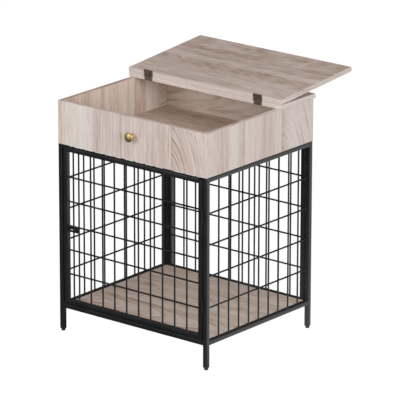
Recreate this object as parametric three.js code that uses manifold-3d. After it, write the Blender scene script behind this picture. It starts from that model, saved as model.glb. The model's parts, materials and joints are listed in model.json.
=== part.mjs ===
// A dog crate end table: a crate of black square tube and welded wire, with a hinged wire door,
// under a shallow wood box whose lid stands open on two butt hinges.
// Millimetres, +Z up, front towards -Y. Pieces that touch keep the same small seat gap.
import * as THREE from "three";
import { mergeVertices } from "three/addons/utils/BufferGeometryUtils.js";
import Module from "manifold-3d";

const wasm = await Module();
wasm.setup();

// ---- Clearances ----
const seatGap = 0.3; // between pieces that bear on each other or are welded together
const runningGap = 0.35; // round a shaft or stud that slides or turns
const joinBite = 0.5; // how far the forms that make up one solid sink into each other
const drillReach = 4; // either side of the wall that a hole is drilled through

// ---- Square tube and wire ----
const tubeSize = 15;
const tubeWall = 1.2;
const tubeCornerRadius = 1.6;
const wireDiameter = 5.2;
const weldBite = 0.4; // how far crossing wires sink into each other where they are welded
const wireSides = 8;

// ---- Steel crate ----
const frameWidth = 595;
const frameDepth = 522;
const footHeight = 7.2;
const legLength = 606.7;
const lowerRailBottom = 78.5;
const sidePitch = 49.2;
const backPitch = 48.2;
const crossPitch = 100.5; // rows of cross wires in the side and back grilles
const backFrameGap = 4.5; // between a back leg and the bolted back frame

// ---- Feet ----
const footDiameter = 13.3;
const footChamfer = 0.9;
const footSides = 24;
const plugLength = 14;
const plugWaist = 1.1; // depth of the grooves between the plug's fins
const plugFins = 3;

// ---- Bolts of the back frame ----
const boltShankDiameter = 6;
const boltHeadDiameter = 11;
const boltHeadHeight = 3.2;
const boltEndInLeg = 5; // past the inside of the leg's wall
const boltFromEnds = 60; // from the back frame's upper and lower edges
const boltEndTaper = 1;
const nutFlangeDiameter = 13;

// ---- Crate floor ----
const crateFloorThickness = 10;
const crateFloorDrop = 2; // below the tops of the lower rails
const crateFloorEdgeGap = 1;
const ledgeWidth = 12;
const ledgeThickness = 2;
const ledgeEndGap = 15;

// ---- Door ----
const doorGapHinge = 4.2;
const doorGapLatch = 4.8;
const doorGapBelow = 2;
const doorGapAbove = 6;
const doorPitch = 48.2;
const doorCrossPitch = 79.1;
const doorGrilleInset = 0.1; // front of the uprights behind the door's front face

// ---- Door hinges ----
const doorHingeLength = 42;
const doorHingeFromBottom = 103.3; // centres of the hinges from the door's lower and upper edges
const doorHingeFromTop = 119.3;
const doorPivotAhead = 2; // pin axis in front of the door's face
const doorLeafDepth = 13;
const doorLeafThickness = 1.3;
const doorBarrelDiameter = 5;
const doorPinDiameter = 2.2;

// ---- Latch and door stop ----
const latchBelowWire = 0.6; // between the bolt and the cross wire above it
const latchPlatePastWire = 1.5; // plate's end past the first upright, which it lies on
const latchPlateWidth = 18;
const latchPlateThickness = 2;
const latchPlateCorner = 2;
const latchBoltDiameter = 8;
const latchBoltFromWire = 3.2; // bolt's inner end short of the first upright
const latchBoltInset = 0.7; // end of the drawn-back bolt inside the stile's outer face
const latchEngagement = 10.5; // how far the shot bolt reaches into the leg
const latchStudDiameter = 4;
const latchStudFromEnd = 45;
const latchButtonDiameter = 9;
const latchButtonHeight = 2.2;
const stopWidth = 21;
const stopOverDoor = 4; // how far the stop reaches behind the door's stile
const stopThickness = 2;
const stopHeight = 60;

// ---- Wood box ----
const boardThickness = 15;
const boardEase = 0.5; // eased edges of every board
const boxBackOverhang = 1.8; // back of the box behind the crate's frame
const boxHeight = 139.5;
const topOverhang = 7.7; // lid and rear board beyond the box's sides
const rearBoardDepth = 173.8;
const lidFrontOverhang = 15.4; // front edge of the closed lid ahead of the box

// ---- Lid hinges ----
const lidOpenTilt = 5; // degrees that the open lid's far edge stays above level
const lidPivotAhead = 2.8; // pin axis in front of the rear board's edge
const lidPivotRise = 0.03; // pin axis above the rear board's top
const lidHingeLength = 30;
const lidHingeFromLeft = 73.7; // hinge centres from the box's left and right faces
const lidHingeFromRight = 82.7;
const lidLeafWidth = 34;
const lidLeafHeight = 20;
const rearLeafHeight = 15;
const lidLeafThickness = 1.5;
const lidPinDiameter = 2.2;

// ---- Hinge pins ----
const pinHeadDiameter = 4;
const pinHeadThickness = 0.9;
const knuckleSides = 16;
const pinSides = 10;

// ---- Knob ----
const knobDiameter = 31;
const knobSides = 24;
const knobProjection = 25;
const knobHeadThickness = 9.5;
const knobRimHeight = 3.5; // widest part of the head above its underside
const knobBaseDiameter = 14;
const knobBaseThickness = 1.6;
const knobNeckDiameter = 9;
const knobNeckFlare = 1; // how much wider the neck is where it meets the base and the head
const knobUndersideFall = 3; // from the rim in to where the head's underside turns flat
const knobRight = 4.5; // right of the front panel's centre
const knobUp = 79; // above the lower edge of the front panel
const knobScrewDiameter = 4;
const knobScrewInKnob = 9;
const knobScrewHeadDiameter = 8;
const knobScrewHeadHeight = 2.6;
const knobScrewTaper = 0.8;

// ---- Frame of reference ----
const originBehindFront = 341.54; // half-way between the knob's tip and the open lid's far edge

// ---- Sizes that follow ----
const halfWidth = frameWidth / 2;
const halfTube = tubeSize / 2;
const legBottom = footHeight + seatGap;
const frameTop = legBottom + legLength;
const lowerRailTop = lowerRailBottom + tubeSize;
const upperRailBottom = frameTop - tubeSize;
const clearWidth = frameWidth - 2 * tubeSize;
const clearDepth = frameDepth - 2 * tubeSize;
const grilleHeight = upperRailBottom - lowerRailTop;
const wireRadius = wireDiameter / 2;
const wireLayer = 2 * wireRadius * Math.cos(Math.PI / wireSides) - weldBite;
const boxBottom = frameTop + seatGap;
const boxTop = boxBottom + boxHeight;
const topBoardBottom = boxTop + seatGap;
const topBoardTop = topBoardBottom + boardThickness;
const boxDepth = frameDepth + boxBackOverhang;
const topWidth = frameWidth + 2 * topOverhang;
const lidPivotY = boxDepth - rearBoardDepth - lidPivotAhead;
const lidPivotZ = topBoardTop + lidPivotRise;
const lidDepth = lidPivotY - lidPivotAhead + lidFrontOverhang;
const knobHeight = boxBottom + knobUp;
const doorWidth = clearWidth - doorGapHinge - doorGapLatch;
const doorBottom = lowerRailTop + doorGapBelow;
const doorHeight = boxBottom - doorGapAbove - doorBottom;
const doorLeft = -halfWidth + tubeSize + doorGapLatch;
const doorRight = doorLeft + doorWidth;
const doorTop = doorBottom + doorHeight;
const doorPivotX = doorRight + doorGapHinge / 2;
const doorClearWidth = doorWidth - 2 * tubeSize;
const doorClearHeight = doorHeight - 2 * tubeSize;

// Places of a centred row with a set pitch in a clear width, one pitch or so from each end.
function row(clear, pitch) {
  const count = Math.max(2, Math.round(clear / pitch) - 1);
  return Array.from({ length: count }, (_, index) => (index - (count - 1) / 2) * pitch);
}

// The latch's bolt runs through the middle of the stile, just under a cross wire near mid-height,
// and stops short of the first upright.
const doorRows = row(doorClearHeight, doorCrossPitch);
const latchWire = (doorBottom + doorTop) / 2 + doorRows[Math.floor((doorRows.length - 1) / 2)];
const latchHeight = latchWire - wireRadius - latchBelowWire - latchBoltDiameter / 2;
const latchDepth = halfTube;
const firstUpright = (doorLeft + doorRight) / 2 + row(doorClearWidth, doorPitch)[0];
const latchTravel = doorGapLatch + latchBoltInset + latchEngagement;

// ---- Finishes ----
const blackSteel = () => new THREE.MeshStandardMaterial({ color: 0x242526, roughness: 0.5, metalness: 0.25 });
const bronzeSteel = () => new THREE.MeshStandardMaterial({ color: 0x4a4038, roughness: 0.4, metalness: 0.8 });
const zincSteel = () => new THREE.MeshStandardMaterial({ color: 0x9a9a96, roughness: 0.35, metalness: 0.9 });
const brass = () => new THREE.MeshStandardMaterial({ color: 0xb0904e, roughness: 0.3, metalness: 0.95 });
const paleWood = () => new THREE.MeshStandardMaterial({ color: 0xc9bcb2, roughness: 0.6, metalness: 0 });
const blackPlastic = () => new THREE.MeshStandardMaterial({ color: 0x1b1b1c, roughness: 0.6, metalness: 0 });

// ---- Solids ----

// A closed geometry as a manifold solid.
function solidOf(geometry) {
  const bare = geometry.clone();
  bare.deleteAttribute("normal");
  bare.deleteAttribute("uv");
  const merged = mergeVertices(bare, 1e-4);
  const mesh = new wasm.Mesh({
    numProp: 3,
    vertProperties: merged.attributes.position.array,
    triVerts: new Uint32Array(merged.index.array),
  });
  return new wasm.Manifold(mesh);
}

// A manifold solid as a flat-shaded geometry.
function geometryOf(solid) {
  const mesh = solid.getMesh();
  const shared = new THREE.BufferGeometry();
  shared.setAttribute("position", new THREE.BufferAttribute(mesh.vertProperties, 3));
  shared.setIndex(new THREE.BufferAttribute(mesh.triVerts, 1));
  const geometry = shared.toNonIndexed();
  geometry.computeVertexNormals();
  return geometry;
}

// The first solid, less the cuts and with the additions.
function shaped(geometry, cuts, additions = []) {
  let solid = solidOf(geometry);
  for (const cut of cuts) {
    solid = solid.subtract(solidOf(cut));
  }
  for (const addition of additions) {
    solid = solid.add(solidOf(addition));
  }
  return geometryOf(solid);
}

// A cylinder whose axis runs along one axis between two places on it.
function rod(axis, diameter, from, to, sides = knuckleSides) {
  const geometry = new THREE.CylinderGeometry(diameter / 2, diameter / 2, Math.abs(to - from), sides);
  geometry.rotateY(Math.PI / sides);
  if (axis === "x") {
    geometry.rotateZ(-Math.PI / 2);
    geometry.translate((from + to) / 2, 0, 0);
  } else if (axis === "y") {
    geometry.translate(0, (from + to) / 2, 0);
  } else {
    geometry.rotateX(Math.PI / 2);
    geometry.translate(0, 0, (from + to) / 2);
  }
  return geometry;
}

// A plain block between two corners.
function block(x0, x1, y0, y1, z0, z1) {
  const geometry = new THREE.BoxGeometry(x1 - x0, y1 - y0, z1 - z0);
  geometry.translate((x0 + x1) / 2, (y0 + y1) / 2, (z0 + z1) / 2);
  return geometry;
}

// Half the outline of a domed head, from the middle of its top to the edge of its bearing face.
function domedHead(diameter, height) {
  const arc = new THREE.EllipseCurve(0, 0, diameter / 2, height, -Math.PI / 2, 0);
  return arc.getPoints(4);
}

// Half the outline of a shank, from its root at Y 0 to its tapered end.
function taperedShank(diameter, end, taper) {
  return [
    new THREE.Vector2(diameter / 2, 0),
    new THREE.Vector2(diameter / 2, end - taper),
    new THREE.Vector2(diameter / 2 - taper, end),
    new THREE.Vector2(0, end),
  ];
}

// A square with round corners, drawn on a shape.
function roundedSquare(path, size, radius) {
  const reach = size / 2 - radius;
  path.moveTo(reach + radius, -reach);
  path.absarc(reach, reach, radius, 0, Math.PI / 2, false);
  path.absarc(-reach, reach, radius, Math.PI / 2, Math.PI, false);
  path.absarc(-reach, -reach, radius, Math.PI, Math.PI * 1.5, false);
  path.absarc(reach, -reach, radius, Math.PI * 1.5, Math.PI * 2, false);
  return path;
}

// Square tube standing on its lower end, centred on the Z axis.
function squareTube(length) {
  const outline = roundedSquare(new THREE.Shape(), tubeSize, tubeCornerRadius);
  const bore = tubeSize / 2 - tubeWall;
  outline.holes.push(new THREE.Path([
    new THREE.Vector2(-bore, -bore),
    new THREE.Vector2(-bore, bore),
    new THREE.Vector2(bore, bore),
    new THREE.Vector2(bore, -bore),
  ]));
  return new THREE.ExtrudeGeometry(outline, { depth: length, bevelEnabled: false, curveSegments: 1 });
}

// A board with eased edges, centred on X and Y, its underside at Z 0.
function board(width, depth, thickness) {
  const x = width / 2 - boardEase;
  const y = depth / 2 - boardEase;
  const outline = new THREE.Shape();
  outline.moveTo(-x, -y);
  outline.lineTo(x, -y);
  outline.lineTo(x, y);
  outline.lineTo(-x, y);
  const geometry = new THREE.ExtrudeGeometry(outline, {
    depth: thickness - 2 * boardEase,
    bevelThickness: boardEase,
    bevelSize: boardEase,
    bevelSegments: 1,
  });
  geometry.translate(0, 0, boardEase);
  return geometry;
}

// A welded grille: uprights in front, cross wires behind them, the two layers evenly about Y 0,
// centred on X, from Z 0 up. It fills a clear opening but for the seat gap at each wire's end.
function grille(clearAcross, clearUp, pitchAcross, pitchUp) {
  const uprights = row(clearAcross, pitchAcross).map((x) => {
    const wire = rod("z", wireDiameter, seatGap, clearUp - seatGap, wireSides);
    wire.translate(x, -wireLayer / 2, 0);
    return wire;
  });
  const crossings = row(clearUp, pitchUp).map((z) => {
    const wire = rod("x", wireDiameter, seatGap - clearAcross / 2, clearAcross / 2 - seatGap, wireSides);
    wire.translate(0, wireLayer / 2, clearUp / 2 + z);
    return wire;
  });
  return shaped(uprights[0], [], [...crossings, ...uprights.slice(1)]);
}

// ---- Hinges: the pin lies along X, the leaves hang down side by side, each facing its own way ----

// One leaf with its knuckles. side is +1 or -1 along Y; middle tells which knuckles are its own.
function hingeLeaf(hinge, side, middle, width, drop) {
  const third = hinge.length / 3;
  const inner = hinge.face - hinge.thickness;
  const low = side > 0 ? inner : -hinge.face;
  const plate = block(-width / 2, width / 2, low, low + hinge.thickness, -drop, 0);
  const half = hinge.length / 2;
  const own = middle
    ? [[-third / 2, third / 2]]
    : [[-half, -third / 2 - seatGap], [third / 2 + seatGap, half]];
  const reach = Math.max(width, hinge.length) / 2 + pinHeadThickness + 2 * seatGap;
  const free = middle
    ? [[-reach, -third / 2], [third / 2, reach]]
    : [[-third / 2 - seatGap, third / 2 + seatGap], [-reach, -half], [half, reach]];
  const clearances = free.map(([from, to]) => rod("x", hinge.barrel + 2 * runningGap, from, to));
  const knuckles = own.map(([from, to]) => rod("x", hinge.barrel, from, to));
  const joined = shaped(plate, clearances, knuckles);
  return shaped(joined, [rod("x", hinge.pin + 2 * runningGap, -reach, reach)]);
}

// The pin with a low head beyond each end of the barrel.
function hingePin(hinge) {
  const inner = hinge.length / 2 + seatGap;
  const outer = inner + pinHeadThickness;
  const radius = hinge.pin / 2;
  const head = pinHeadDiameter / 2;
  const profile = [
    [0, -outer], [head, -outer], [head, -inner], [radius, -inner],
    [radius, inner], [head, inner], [head, outer], [0, outer],
  ].map(([r, y]) => new THREE.Vector2(r, y));
  const geometry = new THREE.LatheGeometry(profile, pinSides);
  geometry.rotateZ(-Math.PI / 2);
  return geometry;
}

// ---- The assembly, built with the front face at Y 0 and the floor at Z 0 ----
const table = new THREE.Group();
table.position.set(0, -originBehindFront, 0);

function add(parent, name, geometry, material, x = 0, y = 0, z = 0) {
  const mesh = new THREE.Mesh(geometry, material);
  mesh.name = name;
  mesh.position.set(x, y, z);
  parent.add(mesh);
  return mesh;
}

// Tubes by the way they run: up from a point, or across between two faces.
function addUpright(parent, name, geometry, x, y, z) {
  return add(parent, name, geometry, blackSteel(), x, y, z);
}

function addAlongX(parent, name, x0, x1, y, z) {
  const mesh = add(parent, name, squareTube(x1 - x0 - 2 * seatGap), blackSteel(), x0 + seatGap, y, z);
  mesh.rotation.y = Math.PI / 2;
  return mesh;
}

function addAlongY(parent, name, y0, y1, x, z) {
  const mesh = add(parent, name, squareTube(y1 - y0 - 2 * seatGap), blackSteel(), x, y0 + seatGap, z);
  mesh.rotation.x = -Math.PI / 2;
  return mesh;
}

// Boards by the face that shows their width: lying flat, facing the front, or facing the side.
function addFlatBoard(parent, name, x0, x1, y0, y1, z, thickness) {
  return add(parent, name, board(x1 - x0, y1 - y0, thickness), paleWood(), (x0 + x1) / 2, (y0 + y1) / 2, z);
}

function addFrontBoard(name, x0, x1, y, z0, z1, cuts = []) {
  const geometry = shaped(board(x1 - x0, z1 - z0, boardThickness).rotateX(Math.PI / 2), cuts);
  return add(table, name, geometry, paleWood(), (x0 + x1) / 2, y + boardThickness, (z0 + z1) / 2);
}

function addSideBoard(name, x, y0, y1, z0, z1) {
  const geometry = board(z1 - z0, y1 - y0, boardThickness);
  const mesh = add(table, name, geometry, paleWood(), x, (y0 + y1) / 2, (z0 + z1) / 2);
  mesh.rotation.y = Math.PI / 2;
  return mesh;
}

// ---- Legs and feet ----

const backFrameBolts = [lowerRailBottom + boltFromEnds, frameTop - boltFromEnds];

// A back leg has a flanged insert nut in its inner wall for each bolt of the back frame.
function backLeg(inward) {
  const wall = halfTube * inward;
  const holes = backFrameBolts.map((height) => {
    const from = wall - drillReach * inward;
    const to = wall + (backFrameGap + drillReach) * inward;
    const hole = rod("x", boltShankDiameter + 2 * runningGap, from, to);
    hole.translate(0, 0, height - legBottom);
    return hole;
  });
  const flanges = backFrameBolts.map((height) => {
    const from = wall - joinBite * inward;
    const flange = rod("x", nutFlangeDiameter, from, wall + (backFrameGap - seatGap) * inward);
    flange.translate(0, 0, height - legBottom);
    return flange;
  });
  return shaped(shaped(squareTube(legLength), [], flanges), holes);
}

// The front left leg has a hole in its inner wall that takes the latch's bolt.
function latchLeg() {
  const hole = rod("x", latchBoltDiameter + 2 * runningGap, 0, tubeSize);
  hole.translate(0, latchDepth - halfTube, latchHeight - legBottom);
  return shaped(squareTube(legLength), [hole]);
}

// A push-in foot: a round glide under a finned plug that fills the leg's lower end.
function foot() {
  const glide = footDiameter / 2;
  const profile = [
    [0, 0], [glide - footChamfer, 0], [glide, footChamfer], [glide, footHeight], [0, footHeight],
  ].map(([r, y]) => new THREE.Vector2(r, y));
  const base = new THREE.LatheGeometry(profile, footSides).rotateX(Math.PI / 2);
  const full = tubeSize / 2 - tubeWall - seatGap;
  const waist = full - plugWaist;
  const top = footHeight + plugLength;
  const core = block(-waist, waist, -waist, waist, footHeight - joinBite, top);
  const finHeight = plugLength / (2 * plugFins);
  const fins = Array.from({ length: plugFins }, (_, index) => {
    const low = top - (2 * index + 1) * finHeight;
    return block(-full, full, -full, full, low, low + finHeight);
  });
  return shaped(base, [], [core, ...fins]);
}

const corners = [
  ["front_left", -halfWidth + halfTube, halfTube, latchLeg()],
  ["front_right", halfWidth - halfTube, halfTube, squareTube(legLength)],
  ["back_left", -halfWidth + halfTube, frameDepth - halfTube, backLeg(1)],
  ["back_right", halfWidth - halfTube, frameDepth - halfTube, backLeg(-1)],
];
for (const [place, x, y, leg] of corners) {
  addUpright(table, `leg_${place}`, leg, x, y, legBottom);
  add(table, `foot_${place}`, foot(), blackPlastic(), x, y, 0);
}

// ---- Rails and grilles of the sides ----
const lowerRail = lowerRailBottom + halfTube;
const upperRail = frameTop - halfTube;
for (const [side, sign] of [["left", -1], ["right", 1]]) {
  const x = sign * (halfWidth - halfTube);
  addAlongY(table, `side_rail_lower_${side}`, tubeSize, frameDepth - tubeSize, x, lowerRail);
  addAlongY(table, `side_rail_upper_${side}`, tubeSize, frameDepth - tubeSize, x, upperRail);
  const wires = grille(clearDepth, grilleHeight, sidePitch, crossPitch);
  const mesh = add(table, `grille_${side}`, wires, blackSteel(), x, frameDepth / 2, lowerRailTop);
  mesh.rotation.z = (sign * Math.PI) / 2;
}
addAlongX(table, "front_rail", -halfWidth + tubeSize, halfWidth - tubeSize, halfTube, lowerRail);

// ---- Back frame, bolted between the back legs ----
const backY = frameDepth - halfTube;
const stileX = halfWidth - tubeSize - backFrameGap - halfTube;
const backClear = 2 * (stileX - halfTube);

// A stile of the back frame, drilled right through for its two bolts.
function backStile() {
  const holes = backFrameBolts.map((height) => {
    const hole = rod("x", boltShankDiameter + 2 * runningGap, -tubeSize, tubeSize);
    hole.translate(0, 0, height - lowerRailBottom);
    return hole;
  });
  return shaped(squareTube(frameTop - lowerRailBottom), holes);
}

// A button-head bolt along +X, its head's bearing face at X 0 and its shank towards +X.
function frameBolt() {
  const end = tubeSize + backFrameGap + tubeWall + boltEndInLeg;
  const head = domedHead(boltHeadDiameter, boltHeadHeight);
  const shank = taperedShank(boltShankDiameter, end, boltEndTaper);
  return new THREE.LatheGeometry([...head, ...shank], knuckleSides).rotateZ(-Math.PI / 2);
}

for (const [side, sign] of [["left", -1], ["right", 1]]) {
  addUpright(table, `back_stile_${side}`, backStile(), sign * stileX, backY, lowerRailBottom);
  for (const [level, height] of [["lower", backFrameBolts[0]], ["upper", backFrameBolts[1]]]) {
    const x = sign * (stileX - halfTube - seatGap);
    const bolt = add(table, `back_bolt_${level}_${side}`, frameBolt(), zincSteel(), x, backY, height);
    bolt.rotation.z = sign > 0 ? 0 : Math.PI;
  }
}
addAlongX(table, "back_rail_lower", -backClear / 2, backClear / 2, backY, lowerRail);
addAlongX(table, "back_rail_upper", -backClear / 2, backClear / 2, backY, upperRail);
const backWires = grille(backClear, grilleHeight, backPitch, crossPitch);
add(table, "grille_back", backWires, blackSteel(), 0, backY, lowerRailTop).rotation.z = Math.PI;

// ---- Crate floor on ledges welded inside the lower side rails ----
const crateFloorBottom = lowerRailTop - crateFloorDrop - crateFloorThickness;
const ledgeTop = crateFloorBottom - seatGap;
for (const [side, sign] of [["left", -1], ["right", 1]]) {
  const outer = halfWidth - tubeSize - seatGap;
  const length = clearDepth - 2 * ledgeEndGap;
  const ledge = new THREE.BoxGeometry(ledgeWidth, length, ledgeThickness);
  const x = sign * (outer - ledgeWidth / 2);
  add(table, `floor_ledge_${side}`, ledge, blackSteel(), x, frameDepth / 2, ledgeTop - ledgeThickness / 2);
}
addFlatBoard(
  table,
  "crate_floor",
  -clearWidth / 2 + crateFloorEdgeGap,
  clearWidth / 2 - crateFloorEdgeGap,
  tubeSize + crateFloorEdgeGap,
  frameDepth - tubeSize - crateFloorEdgeGap,
  crateFloorBottom,
  crateFloorThickness,
);

// ---- Wood box ----
const innerHalf = halfWidth - boardThickness - seatGap;
for (const [side, sign] of [["left", -1], ["right", 1]]) {
  const x = sign > 0 ? halfWidth - boardThickness : -halfWidth;
  addSideBoard(`box_side_${side}`, x, 0, boxDepth, boxBottom, boxTop);
}
const knobHole = rod("y", knobScrewDiameter + 2 * runningGap, -2 * boardThickness, boardThickness);
knobHole.translate(knobRight, 0, knobHeight - (boxBottom + boxTop) / 2);
addFrontBoard("box_front", -innerHalf, innerHalf, 0, boxBottom, boxTop, [knobHole]);
addFrontBoard("box_back", -innerHalf, innerHalf, boxDepth - boardThickness, boxBottom, boxTop);
addFlatBoard(
  table,
  "box_floor",
  -innerHalf,
  innerHalf,
  boardThickness + seatGap,
  boxDepth - boardThickness - seatGap,
  boxBottom,
  boardThickness,
);
addFlatBoard(
  table,
  "rear_top_board",
  -topWidth / 2,
  topWidth / 2,
  boxDepth - rearBoardDepth,
  boxDepth,
  topBoardBottom,
  boardThickness,
);

// ---- Knob on the front panel, held by a screw from inside the box ----

// A turned mushroom knob along +Y from its base at Y 0, with a blind hole for the screw.
function knob() {
  const bore = knobScrewDiameter / 2 + seatGap;
  const head = knobDiameter / 2;
  const neck = knobNeckDiameter / 2;
  const base = knobBaseDiameter / 2;
  const headStart = knobProjection - knobHeadThickness;
  const rim = headStart + knobRimHeight;
  const side = new THREE.SplineCurve([
    new THREE.Vector2(base, knobBaseThickness),
    new THREE.Vector2(neck + knobNeckFlare, knobBaseThickness + 2.5 * knobNeckFlare),
    new THREE.Vector2(neck, (headStart + knobBaseThickness) / 2),
    new THREE.Vector2(neck + knobNeckFlare, headStart - knobNeckFlare),
    new THREE.Vector2(head - knobUndersideFall, headStart + knobNeckFlare),
    new THREE.Vector2(head, rim),
  ]);
  const crown = new THREE.EllipseCurve(0, rim, head, knobProjection - rim, 0, Math.PI / 2);
  const profile = [
    new THREE.Vector2(0, knobScrewInKnob),
    new THREE.Vector2(bore, knobScrewInKnob),
    new THREE.Vector2(bore, 0),
    new THREE.Vector2(base, 0),
    ...side.getPoints(10),
    ...crown.getPoints(5).slice(1),
  ];
  return new THREE.LatheGeometry(profile, knobSides);
}

const knobMesh = add(table, "knob", knob(), brass(), knobRight, -seatGap, knobHeight);
knobMesh.rotation.x = Math.PI;

// A button-head screw along +Y from its bearing face at Y 0, the head towards -Y.
function knobScrew() {
  const head = domedHead(knobScrewHeadDiameter, knobScrewHeadHeight);
  const shank = taperedShank(knobScrewDiameter, boardThickness + knobScrewInKnob, knobScrewTaper);
  return new THREE.LatheGeometry([...head, ...shank], knuckleSides);
}

const screwY = boardThickness + seatGap;
const screwMesh = add(table, "knob_screw", knobScrew(), zincSteel(), knobRight, screwY, knobHeight);
screwMesh.rotation.x = Math.PI;

// ---- Lid on two butt hinges, built closed about the pin axis and swung open ----
const lid = new THREE.Group();
lid.position.set(0, lidPivotY, lidPivotZ);
lid.rotation.x = -THREE.MathUtils.degToRad(180 - lidOpenTilt);
table.add(lid);

const lidHinge = {
  length: lidHingeLength,
  barrel: 2 * (lidPivotAhead - seatGap),
  pin: lidPinDiameter,
  thickness: lidLeafThickness,
  face: lidPivotAhead - seatGap,
};
addFlatBoard(
  lid,
  "lid",
  -topWidth / 2,
  topWidth / 2,
  -lidPivotAhead - lidDepth,
  -lidPivotAhead,
  -lidPivotRise - boardThickness,
  boardThickness,
);
const lidHingePlaces = [
  ["left", -halfWidth + lidHingeFromLeft],
  ["right", halfWidth - lidHingeFromRight],
];
for (const [side, x] of lidHingePlaces) {
  const moving = hingeLeaf(lidHinge, -1, true, lidLeafWidth, lidLeafHeight);
  add(lid, `lid_hinge_leaf_${side}`, moving, bronzeSteel(), x);
  const fixed = hingeLeaf(lidHinge, 1, false, lidHingeLength, rearLeafHeight);
  add(table, `rear_hinge_leaf_${side}`, fixed, bronzeSteel(), x, lidPivotY, lidPivotZ);
  add(table, `lid_hinge_pin_${side}`, hingePin(lidHinge), zincSteel(), x, lidPivotY, lidPivotZ);
}

// ---- Door ----

// The latch stile is drilled right through for the bolt.
function latchStile() {
  const hole = rod("x", latchBoltDiameter + 2 * runningGap, -tubeSize, tubeSize);
  hole.translate(0, latchDepth - halfTube, latchHeight - doorBottom);
  return shaped(squareTube(doorHeight), [hole]);
}

addUpright(table, "door_stile_latch", latchStile(), doorLeft + halfTube, halfTube, doorBottom);
addUpright(table, "door_stile_hinge", squareTube(doorHeight), doorRight - halfTube, halfTube, doorBottom);
for (const [level, z] of [["lower", doorBottom + halfTube], ["upper", doorTop - halfTube]]) {
  addAlongX(table, `door_rail_${level}`, doorLeft + tubeSize, doorRight - tubeSize, halfTube, z);
}
const doorWires = grille(doorClearWidth, doorClearHeight, doorPitch, doorCrossPitch);
add(
  table,
  "door_grille",
  doorWires,
  blackSteel(),
  (doorLeft + doorRight) / 2,
  doorGrilleInset + wireRadius + wireLayer / 2,
  doorBottom + tubeSize,
);

// ---- Door hinges in the gap beside the right leg ----
const doorHinge = {
  length: doorHingeLength,
  barrel: doorBarrelDiameter,
  pin: doorPinDiameter,
  thickness: doorLeafThickness,
  face: doorGapHinge / 2 - seatGap,
};
const doorHingePlaces = [
  ["lower", doorBottom + doorHingeFromBottom],
  ["upper", doorTop - doorHingeFromTop],
];
for (const [level, height] of doorHingePlaces) {
  const hinge = new THREE.Group();
  hinge.position.set(doorPivotX, -doorPivotAhead, height);
  hinge.rotation.set(Math.PI / 2, -Math.PI / 2, 0, "YXZ");
  table.add(hinge);
  const drop = doorPivotAhead + doorLeafDepth;
  const moving = hingeLeaf(doorHinge, 1, true, doorHingeLength, drop);
  const fixed = hingeLeaf(doorHinge, -1, false, doorHingeLength, drop);
  add(hinge, `door_hinge_leaf_${level}`, moving, blackSteel());
  add(hinge, `leg_hinge_leaf_${level}`, fixed, blackSteel());
  add(hinge, `door_hinge_pin_${level}`, hingePin(doorHinge), blackSteel());
}

// ---- Latch: a plate on the stile and first wire, and a bolt that slides through the stile ----
const boltEndX = doorLeft + latchBoltInset;
const boltInnerX = firstUpright - wireRadius - latchBoltFromWire;
const studX = boltEndX + latchStudFromEnd;

// The plate, with a round-ended slot that guides the bolt's stud and ends its travel.
function latchPlate() {
  const slotWidth = latchStudDiameter + 2 * runningGap;
  const plateRight = firstUpright + wireRadius + latchPlatePastWire;
  const centre = (doorLeft + plateRight) / 2;
  const outline = new THREE.Shape();
  const x = (plateRight - doorLeft) / 2;
  const z = latchPlateWidth / 2;
  const corner = latchPlateCorner;
  outline.moveTo(x, -z + corner);
  outline.absarc(x - corner, z - corner, corner, 0, Math.PI / 2, false);
  outline.absarc(-x + corner, z - corner, corner, Math.PI / 2, Math.PI, false);
  outline.absarc(-x + corner, -z + corner, corner, Math.PI, Math.PI * 1.5, false);
  outline.absarc(x - corner, -z + corner, corner, Math.PI * 1.5, Math.PI * 2, false);
  const slot = new THREE.Path();
  const right = studX - centre;
  const left = right - latchTravel;
  slot.absarc(right, 0, slotWidth / 2, -Math.PI / 2, Math.PI / 2, false);
  slot.absarc(left, 0, slotWidth / 2, Math.PI / 2, Math.PI * 1.5, false);
  outline.holes.push(slot);
  const plate = new THREE.ExtrudeGeometry(outline, {
    depth: latchPlateThickness,
    bevelEnabled: false,
    curveSegments: 3,
  });
  plate.rotateX(Math.PI / 2);
  plate.translate(centre, -seatGap, 0);
  return plate;
}

// The round bolt with its stud through the slot and a low button on the stud.
function latchBolt() {
  const bolt = rod("x", latchBoltDiameter, boltEndX, boltInnerX);
  bolt.translate(0, latchDepth, 0);
  const plateFront = -seatGap - latchPlateThickness;
  const buttonBack = plateFront - runningGap;
  const stud = rod("y", latchStudDiameter, buttonBack - joinBite, latchDepth);
  const profile = [...domedHead(latchButtonDiameter, latchButtonHeight), new THREE.Vector2(0, 0)];
  const button = new THREE.LatheGeometry(profile, knuckleSides).translate(0, buttonBack, 0);
  return shaped(bolt, [], [stud.translate(studX, 0, 0), button.translate(studX, 0, 0)]);
}

add(table, "latch_plate", latchPlate(), blackSteel(), 0, 0, latchHeight);
add(table, "latch_bolt", latchBolt(), blackSteel(), 0, 0, latchHeight);

// ---- Door stop: a flat on the back of the left leg that reaches behind the closed door ----

// It sits midway between two cross wires of the left grille, at the pair nearest to the latch.
const sideRows = row(grilleHeight, crossPitch).map((z) => lowerRailTop + grilleHeight / 2 + z);
const rowGaps = sideRows.slice(1).map((z, index) => (z + sideRows[index]) / 2);
const stopCentre = rowGaps.reduce((best, z) => (
  Math.abs(z - latchHeight) < Math.abs(best - latchHeight) ? z : best
));
const stopRight = doorLeft + stopOverDoor;
const stop = block(
  stopRight - stopWidth,
  stopRight,
  tubeSize + seatGap,
  tubeSize + seatGap + stopThickness,
  stopCentre - stopHeight / 2,
  stopCentre + stopHeight / 2,
);
add(table, "door_stop", stop, blackSteel());

const group = new THREE.Group();
group.add(table);

export default group;
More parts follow.
